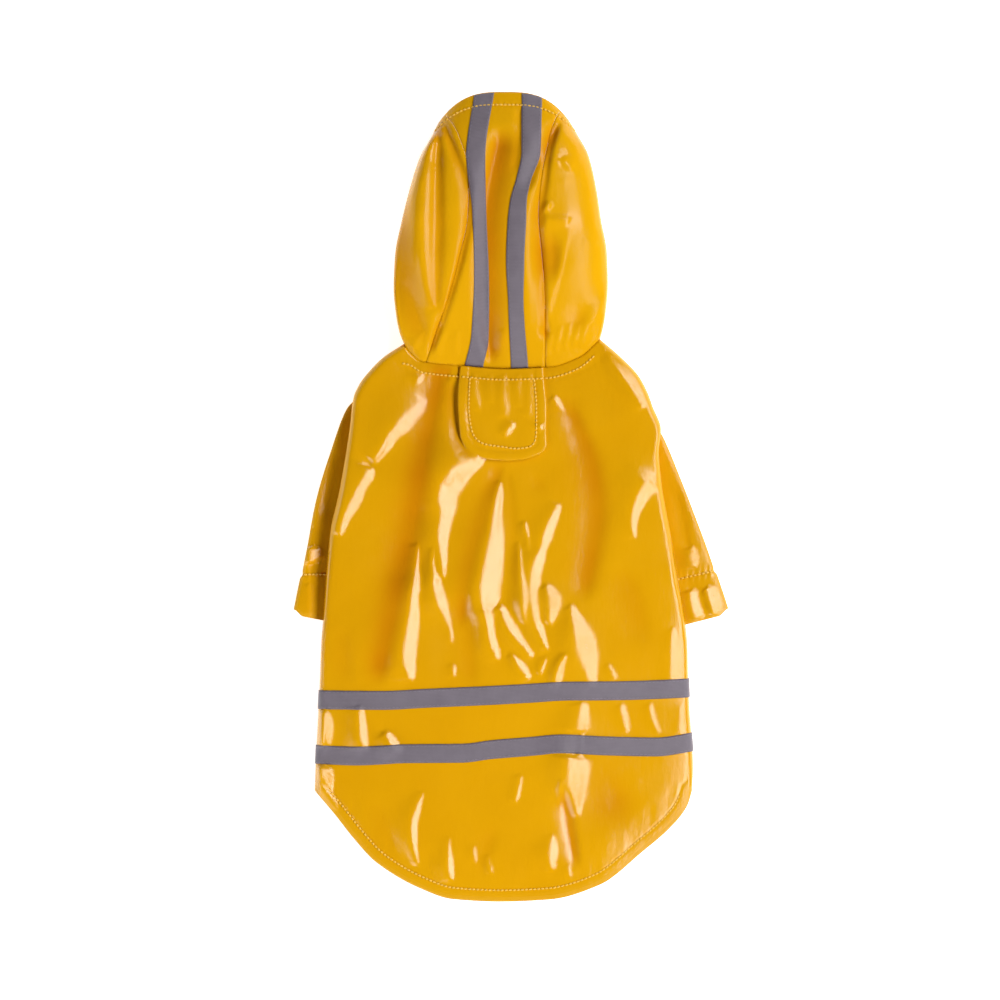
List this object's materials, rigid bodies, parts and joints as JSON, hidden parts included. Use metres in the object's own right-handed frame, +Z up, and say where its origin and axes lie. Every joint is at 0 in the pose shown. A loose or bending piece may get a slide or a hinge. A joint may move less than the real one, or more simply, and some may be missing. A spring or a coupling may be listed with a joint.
{
  "type": "dog raincoat",
  "caption": "Hooded dog raincoat of glossy coated cloth, laid flat on its belly, with two short sleeves, a leash flap, a round tail hem and grey reflective tapes.",
  "frame": {"origin": "on the floor, under the middle of the coat's outline", "axes": "+X to the right of the coat seen from above, +Y along the back towards the hood, +Z up off the floor"},
  "size_m": [0.2446, 0.4577, 0.0323],
  "materials": {
    "coated_cloth": "wet-look glossy coated cloth, warm yellow",
    "reflective_tape": "finely woven grey reflective tape"
  },
  "bodies": {
    "root": {"back_panel": "coated_cloth", "belly_panel": "coated_cloth", "sleeve_left": "coated_cloth", "sleeve_right": "coated_cloth", "hood_centre": "coated_cloth", "hood_side_left": "coated_cloth", "hood_side_right": "coated_cloth", "leash_flap": "coated_cloth", "tape_back_upper": "reflective_tape", "tape_back_lower": "reflective_tape", "tape_hood_left": "reflective_tape", "tape_hood_right": "reflective_tape"}
  },
  "joints": []
}
